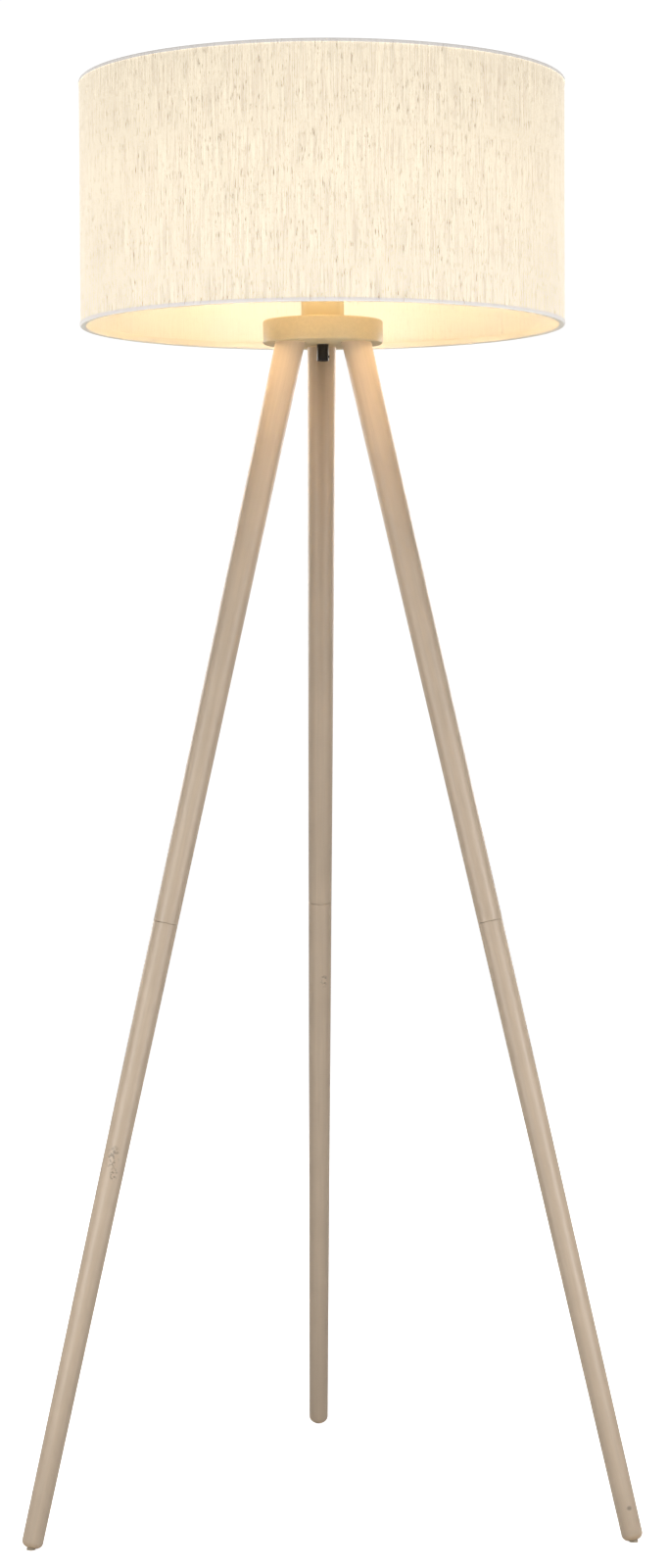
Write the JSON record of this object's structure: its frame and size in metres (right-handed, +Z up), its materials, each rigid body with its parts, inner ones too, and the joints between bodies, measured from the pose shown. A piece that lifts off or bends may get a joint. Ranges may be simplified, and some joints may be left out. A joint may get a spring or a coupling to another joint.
{
  "type": "tripod floor lamp",
  "caption": "Floor lamp with a fabric drum shade on a round hub and splayed, two-part turned wooden legs that screw into it.",
  "frame": {"origin": "on the floor, in the middle of the lamp's overall box; the hub and shade axis stands 52.3 mm towards -Y of it", "axes": "+Z up; -Y is the front, where the two front legs stand apart; +Y points to the back leg; +X to the right as seen from the front"},
  "size_m": [0.6184, 0.6062, 1.4753],
  "materials": {
    "leg_paint": "satin sand paint over turned wood",
    "hub_paint": "satin sand paint over turned wood",
    "cup_paint": "satin sand paint",
    "zinc": "zinc plated",
    "brass": "machined, bare",
    "glide_rubber": "matt, translucent",
    "black_plastic": "glossy black, moulded",
    "holder_plastic": "moulded, white",
    "ceramic": "white",
    "bulb_plastic": "white, fine texture",
    "bulb_diffuser": "opal, lit from inside",
    "led_board": "white solder mask over aluminium",
    "shade_fabric": "woven linen look, slubs along the height",
    "shade_liner": "smooth satin film",
    "edging": "folded edge tape",
    "white_wire": "white powder coat"
  },
  "bodies": {
    "stand": {"hub_disc": "hub_paint", "front_left_hub_insert": "brass", "front_right_hub_insert": "brass", "back_hub_insert": "brass", "threaded_nipple": "zinc", "cup_washer": "zinc", "cup_lock_nut": "zinc", "socket_cup": "cup_paint", "cord_gland": "black_plastic", "gland_clamp_screw": "black_plastic", "holder_base": "holder_plastic", "holder_skirt": "holder_plastic", "holder_contact_block": "ceramic", "holder_screw_shell": "brass", "holder_centre_contact": "brass", "live_terminal_screw": "zinc", "neutral_terminal_screw": "zinc"},
    "front_left_leg_screw": {"front_left_top_stud": "zinc"},
    "front_left_leg": {"front_left_upper_leg": "leg_paint", "front_left_mid_stud": "zinc"},
    "front_left_lower_leg_insert": {"front_left_mid_insert": "brass"},
    "front_left_lower_leg": {"front_left_lower_leg": "leg_paint", "front_left_foot_glide": "glide_rubber"},
    "front_right_leg_screw": {"front_right_top_stud": "zinc"},
    "front_right_leg": {"front_right_upper_leg": "leg_paint", "front_right_mid_stud": "zinc"},
    "front_right_lower_leg_insert": {"front_right_mid_insert": "brass"},
    "front_right_lower_leg": {"front_right_lower_leg": "leg_paint", "front_right_foot_glide": "glide_rubber"},
    "back_leg_screw": {"back_top_stud": "zinc"},
    "back_leg": {"back_upper_leg": "leg_paint", "back_mid_stud": "zinc"},
    "back_lower_leg_insert": {"back_mid_insert": "brass"},
    "back_lower_leg": {"back_lower_leg": "leg_paint", "back_foot_glide": "glide_rubber"},
    "shade": {"shade_fitter_ring": "white_wire", "front_left_shade_arm": "white_wire", "front_right_shade_arm": "white_wire", "back_shade_arm": "white_wire", "shade_bottom_ring": "white_wire", "shade_top_ring": "white_wire", "shade_liner": "shade_liner", "shade_fabric": "shade_fabric", "shade_bottom_edging": "edging", "shade_top_edging": "edging"},
    "ring_nut": {"shade_ring_nut": "holder_plastic"},
    "bulb_tip": {"bulb_contact": "zinc"},
    "bulb": {"bulb_insulator": "black_plastic", "bulb_cap": "zinc", "bulb_housing": "bulb_plastic", "bulb_led_board": "led_board", "bulb_diffuser": "bulb_diffuser"}
  },
  "joints": [
    {"name": "front_left_leg_travel", "type": "slide", "parent": "stand", "child": "front_left_leg_screw", "axis": [-0.2137, -0.1234, -0.9691], "range_m": [0, 0.01001]},
    {"name": "front_left_leg_turn", "type": "hinge", "parent": "front_left_leg_screw", "child": "front_left_leg", "pos_m": [-0.03412, -0.07197, 1.208], "axis": [-0.2137, -0.1234, -0.9691], "range_deg": [0, 2880]},
    {"name": "front_left_lower_leg_travel", "type": "slide", "parent": "front_left_leg", "child": "front_left_lower_leg_insert", "axis": [-0.2137, -0.1234, -0.9691], "range_m": [0, 0.01001]},
    {"name": "front_left_lower_leg_turn", "type": "hinge", "parent": "front_left_lower_leg_insert", "child": "front_left_lower_leg", "pos_m": [-0.03412, -0.07197, 1.208], "axis": [-0.2137, -0.1234, -0.9691], "range_deg": [0, 2880]},
    {"name": "front_right_leg_travel", "type": "slide", "parent": "stand", "child": "front_right_leg_screw", "axis": [0.2137, -0.1234, -0.9691], "range_m": [0, 0.01001]},
    {"name": "front_right_leg_turn", "type": "hinge", "parent": "front_right_leg_screw", "child": "front_right_leg", "pos_m": [0.03412, -0.07197, 1.208], "axis": [0.2137, -0.1234, -0.9691], "range_deg": [0, 2880]},
    {"name": "front_right_lower_leg_travel", "type": "slide", "parent": "front_right_leg", "child": "front_right_lower_leg_insert", "axis": [0.2137, -0.1234, -0.9691], "range_m": [0, 0.01001]},
    {"name": "front_right_lower_leg_turn", "type": "hinge", "parent": "front_right_lower_leg_insert", "child": "front_right_lower_leg", "pos_m": [0.03412, -0.07197, 1.208], "axis": [0.2137, -0.1234, -0.9691], "range_deg": [0, 2880]},
    {"name": "back_leg_travel", "type": "slide", "parent": "stand", "child": "back_leg_screw", "axis": [0, 0.2468, -0.9691], "range_m": [0, 0.01001]},
    {"name": "back_leg_turn", "type": "hinge", "parent": "back_leg_screw", "child": "back_leg", "pos_m": [0, -0.01287, 1.208], "axis": [0, 0.2468, -0.9691], "range_deg": [0, 2880]},
    {"name": "back_lower_leg_travel", "type": "slide", "parent": "back_leg", "child": "back_lower_leg_insert", "axis": [0, 0.2468, -0.9691], "range_m": [0, 0.01001]},
    {"name": "back_lower_leg_turn", "type": "hinge", "parent": "back_lower_leg_insert", "child": "back_lower_leg", "pos_m": [0, -0.01287, 1.208], "axis": [0, 0.2468, -0.9691], "range_deg": [0, 2880]},
    {"name": "shade_turn", "type": "hinge", "parent": "stand", "child": "shade", "pos_m": [0, -0.05227, 1.2856], "axis": [0, 0, 1], "continuous": true},
    {"name": "ring_nut_turn", "type": "hinge", "parent": "stand", "child": "ring_nut", "pos_m": [0, -0.05227, 1.2926], "axis": [0, 0, 1], "range_deg": [0, 900]},
    {"name": "bulb_travel", "type": "slide", "parent": "stand", "child": "bulb_tip", "axis": [0, 0, 1], "range_m": [0, 0.01453]},
    {"name": "bulb_turn", "type": "hinge", "parent": "bulb_tip", "child": "bulb", "pos_m": [0, -0.05227, 1.2679], "axis": [0, 0, 1], "range_deg": [0, 1440]}
  ],
  "couplings": [
    {"joint": "front_left_leg_travel", "follows": "front_left_leg_turn", "m_per_rad": 0.00019894},
    {"joint": "front_left_lower_leg_travel", "follows": "front_left_lower_leg_turn", "m_per_rad": 0.00019894},
    {"joint": "front_right_leg_travel", "follows": "front_right_leg_turn", "m_per_rad": 0.00019894},
    {"joint": "front_right_lower_leg_travel", "follows": "front_right_lower_leg_turn", "m_per_rad": 0.00019894},
    {"joint": "back_leg_travel", "follows": "back_leg_turn", "m_per_rad": 0.00019894},
    {"joint": "back_lower_leg_travel", "follows": "back_lower_leg_turn", "m_per_rad": 0.00019894},
    {"joint": "bulb_travel", "follows": "bulb_turn", "m_per_rad": 0.00057757}
  ]
}
